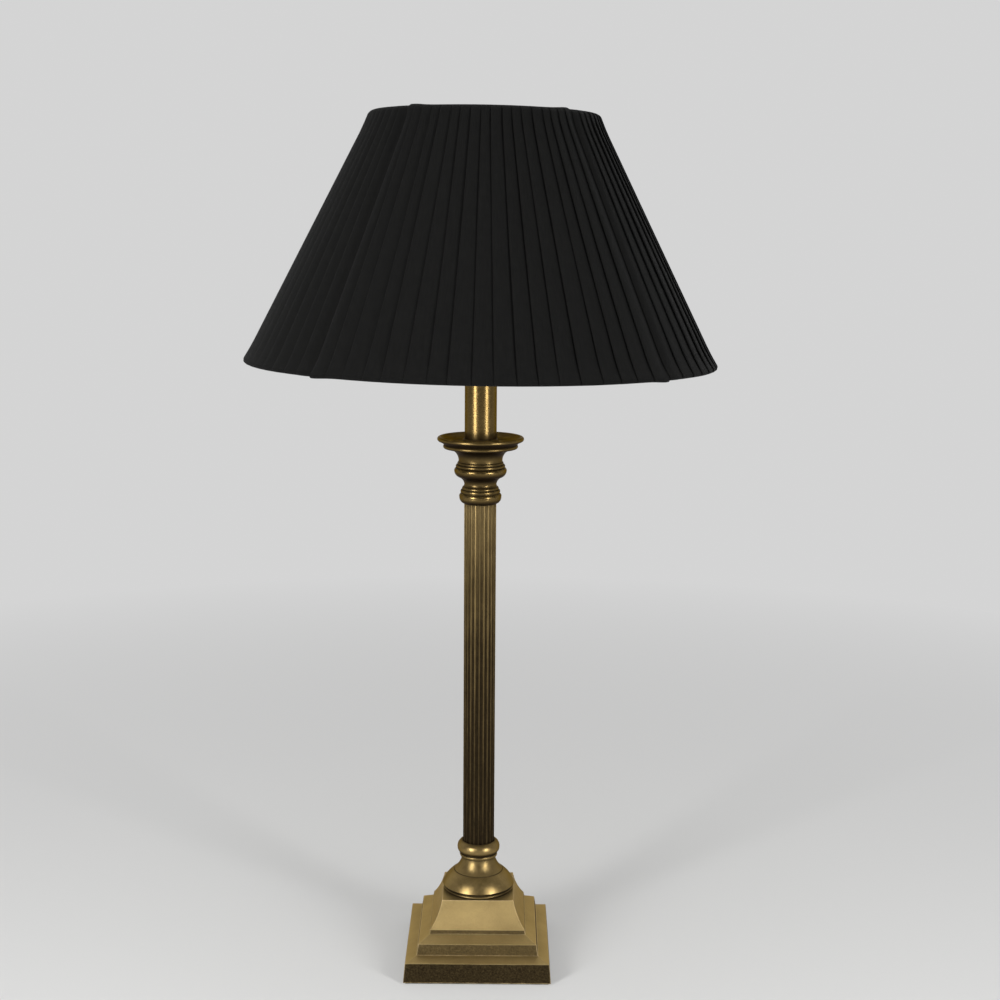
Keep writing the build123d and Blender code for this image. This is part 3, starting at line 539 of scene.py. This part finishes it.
def pleated_rows(shade):
    """Points of the pleated cover, ring by ring, with its cloth map."""
    rng = random.Random(shade.seed)
    lobes = [fold_places(shade, rng) for _ in range(LOBES)]
    traits = [[(rng.uniform(0.82, 1.12), rng.uniform(0, 6.3), rng.uniform(0, 6.3),
                rng.uniform(0.15, 0.5) * MM) for _ in range(shade.pleats)] for _ in range(LOBES)]
    path = [(SHADE_FOOT + up, inset, press, -1) for inset, up, press in RIM]
    low, high = path[-1][0], SHADE_TOP - RIM[-1][1]
    path += [(low + i / 16 * (high - low), COVER_BASE, 1.0, -1 if i < 8 else 1) for i in range(1, 16)]
    path += [(SHADE_TOP - up, inset, press, 1) for inset, up, press in reversed(RIM)]
    rows = []
    for height, base, press, away in path:
        step = (height - SHADE_FOOT) / SHADE_HEIGHT
        to_end = min(height - SHADE_FOOT, SHADE_TOP - height)
        near_end = 1 - smooth(to_end / (70 * MM))
        row = []
        for lobe in range(LOBES):
            length = lobe_length(height)
            for pleat in range(shade.pleats):
                tall, phase, other, wander = traits[lobe][pleat]
                bottoms, tops = lobes[lobe]
                here = bottoms[pleat] + step * (tops[pleat] - bottoms[pleat])
                after = bottoms[pleat + 1] + step * (tops[pleat + 1] - bottoms[pleat + 1])
                pitch = after - here
                sway = wander * math.sin(3.1 * step + phase) / length if pleat else 0.0
                under = min(0.5 * (shade.strip - pitch * length), 0.9 * pitch * length) / length
                wave = 0.18 * MM * math.sin(9 * step + other)
                for along_pitch, along_under, lift, _ in PLEAT:
                    along = here + along_pitch * pitch + along_under * under + sway * (1 - along_pitch)
                    in_lobe, part = (lobe, along) if along <= 1 else ((lobe + 1) % LOBES, along - 1)
                    spot, from_valley = plan_spot(in_lobe, part, height, 0.0)
                    calm = smooth(from_valley / (7 * MM))
                    rise = shade.fold * tall * press * (0.55 + 0.45 * calm) * lift
                    out = rise + wave * press * (1 - lift) * calm + swell(shade, from_valley, to_end)
                    drop = away * near_end * rim_drop(shade, in_lobe, from_valley)
                    spot, _ = plan_spot(in_lobe, part, height + drop, base - out)
                    row.append(settle(spot))
        rows.append(row)
    across = [(p + part[3]) * shade.strip for p in range(LOBES * shade.pleats) for part in PLEAT]
    across.append(LOBES * shade.pleats * shade.strip)
    lean = math.hypot(SHADE_HEIGHT, BOTTOM_REACH - TOP_REACH) / SHADE_HEIGHT
    down = section_lengths([(base, height * lean) for height, base, _, _ in path])
    return rows, across, down


def lobe_length(height):
    """The length of a lobe's outside at a height."""
    length, last = 0.0, None
    for i in range(25):
        spot, _ = plan_spot(0, i / 24, height, 0.0)
        length += (spot - last).length if last else 0.0
        last = spot
    return length


def band_rows(shade, level, profile, away, spots=44):
    """Rows of a band round the rim: profile is (inset, height over the rim's own edge)."""
    rng = random.Random(shade.seed + (1 if away > 0 else 2))
    phases = [rng.uniform(0, 6.3) for _ in range(6)]
    rows = [[] for _ in profile]
    for lobe in range(LOBES):
        for i in range(spots):
            along = i / (spots - 1)
            turn = 2 * math.pi * (lobe + along) / LOBES
            uneven = sum(0.09 * MM * math.sin((3 + 7 * k) * turn + phases[k]) for k in range(3))
            puff = sum(0.07 * MM * math.sin((17 + 9 * k) * turn + phases[3 + k]) for k in range(3))
            for row, (inset, over) in zip(rows, profile):
                height = level - away * over
                _, from_valley = plan_spot(lobe, along, height, 0.0)
                hug = smooth(1 - inset / (2 * ROLL_RADIUS))
                out = swell(shade, from_valley) * hug + puff
                drop = away * (rim_drop(shade, lobe, from_valley) + uneven * 2)
                spot, _ = plan_spot(lobe, along, height + drop, inset - out)
                row.append(settle(spot))
    return rows


def roll_profile(band):
    """Section of the binding inside the turned cloth: up its outside, round the ring, up inside."""
    thin = ROLL_RADIUS - 0.6 * MM
    section = [(ROLL_RADIUS + thin * math.cos(turn), ROLL_RADIUS - thin * math.sin(turn))
               for turn in [math.pi * (1.05 - i / 12) for i in range(13)]]
    return section + [(2 * ROLL_RADIUS - 0.6 * MM, band - 3.5 * MM),
                      (2 * ROLL_RADIUS - 0.9 * MM, band - 1 * MM)]


def section_lengths(profile):
    run = [0.0]
    for (a, b), (c, d) in zip(profile, profile[1:]):
        run.append(run[-1] + math.hypot(c - a, d - b))
    return run


# ---------------------------------------------------------------- operators, one for each group of pieces
class LAMP_OT_plinth(bpy.types.Operator):
    """Finish the stepped plinth as an old brass casting"""
    bl_idname = "lamp.plinth"
    bl_label = "Plinth"

    def execute(self, context):
        brass = context.scene.lamp_brass

        # Painted shade: the upright faces of the tiers are darkened, as if they mirrored a dark cloth in
        # front.
        def upright_painted_shade(n, place):
            normal = n.xyz(n.add("ShaderNodeNewGeometry").outputs["Normal"])[2]
            steep = n.level(n.math("ABSOLUTE", normal), 0.5, 0.3)
            height = n.xyz(place)[2]
            low = n.math("MULTIPLY", n.level(height, 0.0412, 0.0404),
                         n.level(height, 0.0215, 0.0209, 0.72, 1.0))
            grains = n.level(n.noise(place, 620.0, 6.0, 0.75), 0.3, 0.66, 0.66, 1.0)
            return n.math("MULTIPLY", n.math("MULTIPLY", steep, low), grains)

        # Its wide, bright edges are partly rubbed brass and partly a painted highlight along each edge.
        finish = aged_brass("cast brass plinth", brass, bright=0.85, turned=False, extra=upright_painted_shade,
                            roughness=0.42, grain=900.0, grain_height=0.00012, wear=1.3,
                            recess=0.2, variation=0.35, edge_width=0.0016)
        paint(finish, "plinth")
        return {"FINISHED"}


class LAMP_OT_stem(bpy.types.Operator):
    """Finish the turned pieces between plinth and candle tube"""
    bl_idname = "lamp.stem"
    bl_label = "Turned stem"

    def execute(self, context):
        brass = context.scene.lamp_brass

        # Painted shade: faces that turn down are darkened, as if they mirrored a dark cloth below.
        def underside_painted_shade(n, place):
            normal = n.xyz(n.add("ShaderNodeNewGeometry").outputs["Normal"])[2]
            return n.level(normal, -0.08, -0.7, 0.0, 0.95)

        # The foot gets more gold than the knops and tube: a painted reflection of the brighter surround
        # its upturned faces see.
        paint(aged_brass("turned brass foot", brass, bright=0.4, roughness=0.34, variation=0.3,
                         reach=1.6, extra=underside_painted_shade), "foot_bell", "foot_collar")
        paint(aged_brass("turned brass knops", brass, bright=0.18, recess=0.8, reach=1.5,
                         roughness=0.25, variation=0.2, extra=underside_painted_shade),
              "column_cap", "knop")
        paint(aged_brass("turned brass pan", brass, bright=0.2, recess=0.4, roughness=0.3,
                         variation=0.2, extra=underside_painted_shade), "drip_pan")
        paint(aged_brass("drawn brass tube", brass, bright=0.15, roughness=0.25, variation=0.12),
              "candle_tube", "tube_ring", "tube_cap")
        return {"FINISHED"}


class LAMP_OT_column(bpy.types.Operator):
    """Finish the fluted column, dark in its flutes and towards its foot"""
    bl_idname = "lamp.column"
    bl_label = "Fluted column"

    def execute(self, context):
        brass = context.scene.lamp_brass

        def flutes(n, place):
            x, y, z = n.xyz(place)
            radius = n.math("SQRT", n.math("ADD", n.math("MULTIPLY", x, x), n.math("MULTIPLY", y, y)))
            groove = n.level(radius, 0.01405, 0.01335)
            foot = n.level(z, 0.42, 0.13, 0.55, 1.6)
            stretched = n.add("ShaderNodeVectorMath", {0: place, 1: (260.0, 260.0, 28.0)},
                              operation="MULTIPLY").outputs[0]
            streaks = n.level(n.noise(stretched, 1.0, 5.0, 0.65), 0.3, 0.65, 0.7, 1.0)
            depth = n.math("ADD", n.math("MULTIPLY", groove, 0.45), 0.55)
            return n.math("MINIMUM", n.math("MULTIPLY", n.math("MULTIPLY", depth, foot), streaks), 0.96)

        finish = aged_brass("fluted brass column", brass, bright=0.52, turned=False, extra=flutes,
                            roughness=0.34)
        paint(finish, "column")
        return {"FINISHED"}


class LAMP_OT_underside(bpy.types.Operator):
    """Finish the felt, cover plate, ballast and screws under the plinth"""
    bl_idname = "lamp.underside"
    bl_label = "Underside"

    def execute(self, context):
        material, n, shader = new_finish("wool felt")
        place = n.place()
        fibres = n.noise(place, 900.0, 8.0, 0.75)
        clumps = n.noise(place, 130.0, 4.0)
        share = n.math("ADD", n.math("MULTIPLY", fibres, 0.6), n.math("MULTIPLY", clumps, 0.4))
        n.put(shader["Base Color"], n.blend(n.level(share, 0.35, 0.65), (0.018, 0.022, 0.018),
                                            (0.055, 0.066, 0.055)))
        n.put(shader["Roughness"], n.level(fibres, 0.3, 0.7, 0.85, 1.0))
        shader["Sheen Weight"].default_value = 0.5
        n.put(shader["Normal"], n.bump(fibres, 0.0004, 0.8))
        paint(material, "base_felt")

        casting, n, shader = new_finish("raw iron casting")
        place = n.place()
        sand = n.noise(place, 380.0, 8.0, 0.7)
        rust = n.level(n.noise(place, 45.0, 6.0), 0.5, 0.72)
        n.put(shader["Base Color"], n.blend(rust, (0.09, 0.09, 0.1), (0.16, 0.08, 0.045)))
        n.put(shader["Metallic"], n.level(rust, 0.0, 1.0, 0.75, 0.1))
        n.put(shader["Roughness"], n.level(sand, 0.3, 0.7, 0.55, 0.8))
        n.put(shader["Normal"], n.bump(sand, 0.0006, 0.8))
        paint(casting, "base_weight")

        paint(plain_metal("zinc plated steel", (0.5, 0.51, 0.53), 0.34), "cover_screws",
              "threaded_rod", "rod_washer", "rod_lock_washer", "rod_nut_bottom", "rod_nut_top",
              "column_bushing_lower", "column_bushing_upper")
        paint(plain_metal("black painted steel", (0.03, 0.03, 0.032), 0.45, metallic=0.0), "base_cover")
        return {"FINISHED"}


class LAMP_OT_lampholder(bpy.types.Operator):
    """Finish the lampholder, its contacts, its switch and the cord inlet"""
    bl_idname = "lamp.lampholder"
    bl_label = "Lampholder"

    def execute(self, context):
        brass = context.scene.lamp_brass
        paint(aged_brass("spun brass holder", brass, bright=0.7, roughness=0.26), "lampholder_cap",
              "lampholder_skirt", "shade_ring_lower", "shade_ring_upper")
        paint(plain_metal("contact brass", (0.6, 0.44, 0.2), 0.25), "screw_shell",
              "centre_contact", "terminal_screws", "bulb_tip")

        plastic, n, shader = new_finish("moulded black plastic")
        place = n.place()
        skin = n.noise(place, 900.0, 4.0)
        scuffs = n.level(n.noise(place, 120.0, 8.0, 0.7), 0.45, 0.7)
        n.put(shader["Base Color"], n.blend(scuffs, (0.014, 0.014, 0.014), (0.035, 0.034, 0.033)))
        n.put(shader["Roughness"], n.level(scuffs, 0.0, 1.0, 0.28, 0.5))
        n.put(shader["Normal"], n.bump(skin, 0.00003, 0.5))
        paint(plastic, "cord_bush", "cord_bush_nut", "switch_bar", "bulb_insulator")

        glaze, n, shader = new_finish("glazed porcelain")
        place = n.place()
        ripple = n.noise(place, 160.0, 3.0)
        specks = n.level(n.noise(place, 1400.0, 2.0), 0.68, 0.75)
        n.put(shader["Base Color"], n.blend(specks, (0.78, 0.765, 0.72), (0.45, 0.38, 0.3)))
        n.put(shader["Roughness"], n.level(ripple, 0.3, 0.7, 0.1, 0.2))
        n.put(shader["Normal"], n.bump(ripple, 0.0001, 0.4))
        paint(glaze, "holder_insert")
        return {"FINISHED"}


class LAMP_OT_bulb(bpy.types.Operator):
    """Finish the bulb: pearl glass, glass stem, filament and plated cap"""
    bl_idname = "lamp.bulb"
    bl_label = "Bulb"

    def execute(self, context):
        paint(plain_metal("nickel plate", (0.62, 0.6, 0.55), 0.18), "bulb_cap")
        paint(plain_metal("drawn tungsten", (0.25, 0.25, 0.27), 0.4, lines=0.0002), "bulb_filament")
        for name, nodes, colour, roughness, scale in (
                ("pearl glass", ("bulb_glass",), (0.95, 0.945, 0.92), 0.32, 700.0),
                ("clear glass", ("bulb_stem",), (0.9, 0.94, 0.93), 0.04, 60.0)):
            glass, n, shader = new_finish(name)
            place = n.place()
            frost = n.noise(place, scale, 4.0)
            shader["Base Color"].default_value = (*colour, 1)
            n.put(shader["Roughness"], n.level(frost, 0.3, 0.7, roughness * 0.8, roughness * 1.15))
            shader["Transmission Weight"].default_value = 1.0
            shader["IOR"].default_value = 1.45
            n.put(shader["Normal"], n.bump(frost, 0.00002, 0.4))
            paint(glass, *nodes)
        return {"FINISHED"}


class LAMP_OT_shade_frame(bpy.types.Operator):
    """Finish the coated wires that hold the shade"""
    bl_idname = "lamp.shade_frame"
    bl_label = "Shade frame"

    def execute(self, context):
        wire, n, shader = new_finish("white coated wire")
        place = n.place()
        orange_peel = n.noise(place, 800.0, 3.0)
        yellowed = n.level(n.noise(place, 30.0, 5.0), 0.4, 0.7)
        # Darker where the wires are hemmed in, from an occlusion mask.
        corner_darkening = n.group(effect("Recess"), Width=0.003, Sharpness=0.7)["Mask"]
        tone = n.blend(yellowed, (0.78, 0.77, 0.73), (0.7, 0.64, 0.5))
        n.put(shader["Base Color"], n.blend(corner_darkening, tone, (0.3, 0.26, 0.2)))
        n.put(shader["Roughness"], n.level(orange_peel, 0.3, 0.7, 0.35, 0.5))
        n.put(shader["Normal"], n.bump(orange_peel, 0.00005, 0.5))
        paint(wire, "shade_fitter", "shade_arms", "shade_top_wire", "shade_bottom_wire", "shade_ribs")
        return {"FINISHED"}


class LAMP_OT_shade_cover(bpy.types.Operator):
    """Make the knife-pleated cloth cover with the bands rolled round its two rings"""
    bl_idname = "lamp.shade_cover"
    bl_label = "Pleated cover"

    def execute(self, context):
        shade = context.scene.lamp_shade
        black = woven_cloth("black pleated cloth", shade.cloth, 0.00042, 0.03)
        rows, across, down = pleated_rows(shade)
        cover = cloth_piece("pleated_cover", rows, across, down, black)
        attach(cover, "shade")
        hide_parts("shade_cover")
        profile = roll_profile(shade.band)
        lengths = section_lengths(profile)
        for name, node, level, away, girth in (
                ("bottom_roll", "shade_bottom_trim", SHADE_FOOT, -1, BOTTOM_ROLL_LENGTH),
                ("top_roll", "shade_top_trim", SHADE_TOP, 1, TOP_ROLL_LENGTH)):
            rows = band_rows(shade, level, profile, away)
            around = [girth * i / len(rows[0]) for i in range(len(rows[0]) + 1)]
            roll = cloth_piece(name, rows, around, lengths, black)
            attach(roll, "shade")
            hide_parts(node)
        return {"FINISHED"}


class LAMP_OT_shade_lining(bpy.types.Operator):
    """Make the pale cloth stretched inside the ribs"""
    bl_idname = "lamp.shade_lining"
    bl_label = "Lining"

    def execute(self, context):
        shade = context.scene.lamp_shade
        cream = woven_cloth("cream lining cloth", shade.lining, 0.0004, 0.15, slubs=0.2, folds=0.2)
        rng = random.Random(shade.seed + 3)
        phases = [rng.uniform(0, 6.3) for _ in range(4)]
        low, high = SHADE_FOOT + LINING_MARGIN, SHADE_TOP - LINING_MARGIN
        spots, levels = 40, 18
        rows = []
        for level in range(levels + 1):
            share = level / levels
            height = low + share * (high - low)
            row = []
            for lobe in range(LOBES):
                for i in range(spots):
                    along = i / (spots - 1)
                    turn = 2 * math.pi * (lobe + along)
                    pull = 4 * (share - 0.5) ** 2
                    pucker = 0.25 * MM * pull * math.sin(9 * turn + phases[0])
                    pucker += 0.12 * MM * math.sin(2.3 * turn + 5 * share + phases[1])
                    spot, _ = plan_spot(lobe, along, height, LINING_INSET + pucker)
                    row.append(settle(spot))
            rows.append(row)
        slant = math.hypot(high - low, BOTTOM_REACH - TOP_REACH)
        around = [1.22 * i / len(rows[0]) for i in range(len(rows[0]) + 1)]
        lining = cloth_piece("shade_inner_cloth", rows, around,
                             [slant * i / levels for i in range(levels + 1)], cream)
        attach(lining, "shade")
        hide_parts("shade_lining")
        return {"FINISHED"}


def soft_light(name, place, aim, width, height, power):
    lamp = bpy.data.lights.new(name, "AREA")
    lamp.shape = "RECTANGLE"
    lamp.size, lamp.size_y = width, height
    lamp.energy = power
    light = bpy.data.objects.new(name, lamp)
    light.location = place
    light.rotation_euler = (Vector(aim) - Vector(place)).to_track_quat("-Z", "Y").to_euler()
    bpy.context.scene.collection.objects.link(light)


def seen_or_mirrored(nodes):
    """1 on rays from the camera and through or off glossy surfaces."""
    path = nodes.add("ShaderNodeLightPath").outputs
    either = nodes.math("MAXIMUM", path["Is Camera Ray"], path["Is Glossy Ray"])
    return nodes.math("MAXIMUM", either, path["Is Transmission Ray"])


class LAMP_OT_stage(bpy.types.Operator):
    """Set up the pale floor, the lights, the surround and the camera"""
    bl_idname = "lamp.stage"
    bl_label = "Stage"

    def execute(self, context):
        stage = context.scene.lamp_stage
        scene = context.scene
        scene.view_settings.view_transform = "Standard"

        world = bpy.data.worlds.new("surround")
        world.use_nodes = True
        world.node_tree.nodes.clear()
        n = Nodes(world.node_tree)
        path = n.add("ShaderNodeLightPath").outputs
        camera_ray = path["Is Camera Ray"]
        mirrored = n.math("MAXIMUM", path["Is Glossy Ray"], path["Is Transmission Ray"])
        behind = n.level(n.xyz(n.add("ShaderNodeTexCoord").outputs["Generated"])[1],
                         -0.15, 0.3, stage.room, 1.0)
        seen = n.math("MAXIMUM", camera_ray, n.math("MULTIPLY", mirrored, behind))
        on_matt = n.math("SUBTRACT", 1.0, n.math("MAXIMUM", camera_ray, mirrored))
        strength = n.math("ADD", n.math("MULTIPLY", seen, stage.backdrop),
                          n.math("MULTIPLY", on_matt, stage.surround))
        sky = n.add("ShaderNodeBackground", {"Color": (1.0, 1.0, 1.0, 1.0), "Strength": strength})
        n.tree.links.new(sky.outputs[0], n.add("ShaderNodeOutputWorld").inputs[0])
        scene.world = world

        ground = bmesh.new()
        bmesh.ops.create_circle(ground, cap_ends=True, radius=6.0, segments=96)
        mesh = bpy.data.meshes.new("floor")
        ground.to_mesh(mesh)
        ground.free()
        floor = bpy.data.objects.new("floor", mesh)
        scene.collection.objects.link(floor)
        pale = bpy.data.materials.new("pale floor")
        pale.use_nodes = True
        pale.node_tree.nodes.clear()
        n = Nodes(pale.node_tree)
        place = n.place()
        distance = n.add("ShaderNodeVectorMath", {0: place}, operation="LENGTH").outputs["Value"]
        far = n.level(distance, 0.35, 1.6, 0.28, 1.0)
        matt = n.add("ShaderNodeBsdfDiffuse", {"Color": stage.floor})
        white = n.add("ShaderNodeEmission", {"Color": (1.0, 1.0, 1.0, 1.0), "Strength": stage.backdrop})
        mixed = n.add("ShaderNodeMixShader", {0: n.math("MULTIPLY", far, seen_or_mirrored(n)),
                                              1: matt.outputs[0], 2: white.outputs[0]})
        below = n.add("ShaderNodeNewGeometry").outputs["Backfacing"]
        hidden = n.math("MULTIPLY", below, n.add("ShaderNodeLightPath").outputs["Is Camera Ray"])
        clear = n.add("ShaderNodeBsdfTransparent", {"Color": (1.0, 1.0, 1.0, 1.0)})
        shown = n.add("ShaderNodeMixShader", {0: hidden, 1: mixed.outputs[0], 2: clear.outputs[0]})
        n.tree.links.new(shown.outputs[0], n.add("ShaderNodeOutputMaterial").inputs[0])
        mesh.materials.append(pale)

        soft_light("left softbox", (-1.08, -1.3, 0.72), (0, 0, 0.5), 0.4, 1.15, stage.softbox)
        soft_light("right softbox", (1.2, -1.22, 0.72), (0, 0, 0.5), 0.34, 1.15, 0.8 * stage.softbox)
        soft_light("top light", (0.0, -0.25, 2.3), (0, 0, 0.2), 1.5, 1.5, stage.top_light)

        view = bpy.data.cameras.new("photo camera")
        view.lens = stage.lens
        view.sensor_width = 36.0
        view.clip_start = 0.05
        camera = bpy.data.objects.new("photo camera", view)
        camera.matrix_world = (Matrix.Translation(stage.eye)
                               @ Matrix.Rotation(math.radians(90) - stage.pitch, 4, "X")
                               @ Matrix.Rotation(stage.roll, 4, "Z"))
        scene.collection.objects.link(camera)
        scene.camera = camera
        return {"FINISHED"}


OPERATORS = (LAMP_OT_stage, LAMP_OT_plinth, LAMP_OT_stem, LAMP_OT_column, LAMP_OT_underside,
             LAMP_OT_lampholder, LAMP_OT_bulb, LAMP_OT_shade_frame, LAMP_OT_shade_cover,
             LAMP_OT_shade_lining)
SETTINGS = {"lamp_brass": LampBrass, "lamp_shade": LampShade, "lamp_stage": LampStage}


class LAMP_PT_sidebar(bpy.types.Panel):
    """The lamp's settings and the steps that make its looks"""
    bl_idname = "LAMP_PT_sidebar"
    bl_label = "Candlestick lamp"
    bl_space_type = "VIEW_3D"
    bl_region_type = "UI"
    bl_category = "Lamp"

    def draw(self, context):
        for name, settings in SETTINGS.items():
            box = self.layout.box()
            box.label(text=settings.bl_label)
            for key in settings.__annotations__:
                box.prop(getattr(context.scene, name), key)
        for operator in OPERATORS:
            self.layout.operator(operator.bl_idname)


def register():
    for settings in SETTINGS.values():
        bpy.utils.register_class(settings)
    for name, settings in SETTINGS.items():
        setattr(bpy.types.Scene, name, bpy.props.PointerProperty(type=settings))
    for operator in OPERATORS:
        bpy.utils.register_class(operator)
    bpy.utils.register_class(LAMP_PT_sidebar)


def unregister():
    bpy.utils.unregister_class(LAMP_PT_sidebar)
    for operator in reversed(OPERATORS):
        bpy.utils.unregister_class(operator)
    for name, settings in SETTINGS.items():
        delattr(bpy.types.Scene, name)
        bpy.utils.unregister_class(settings)


def main():
    register()
    for operator in OPERATORS:
        group, name = operator.bl_idname.split(".")
        getattr(getattr(bpy.ops, group), name)()


if __name__ == "__main__":
    main()
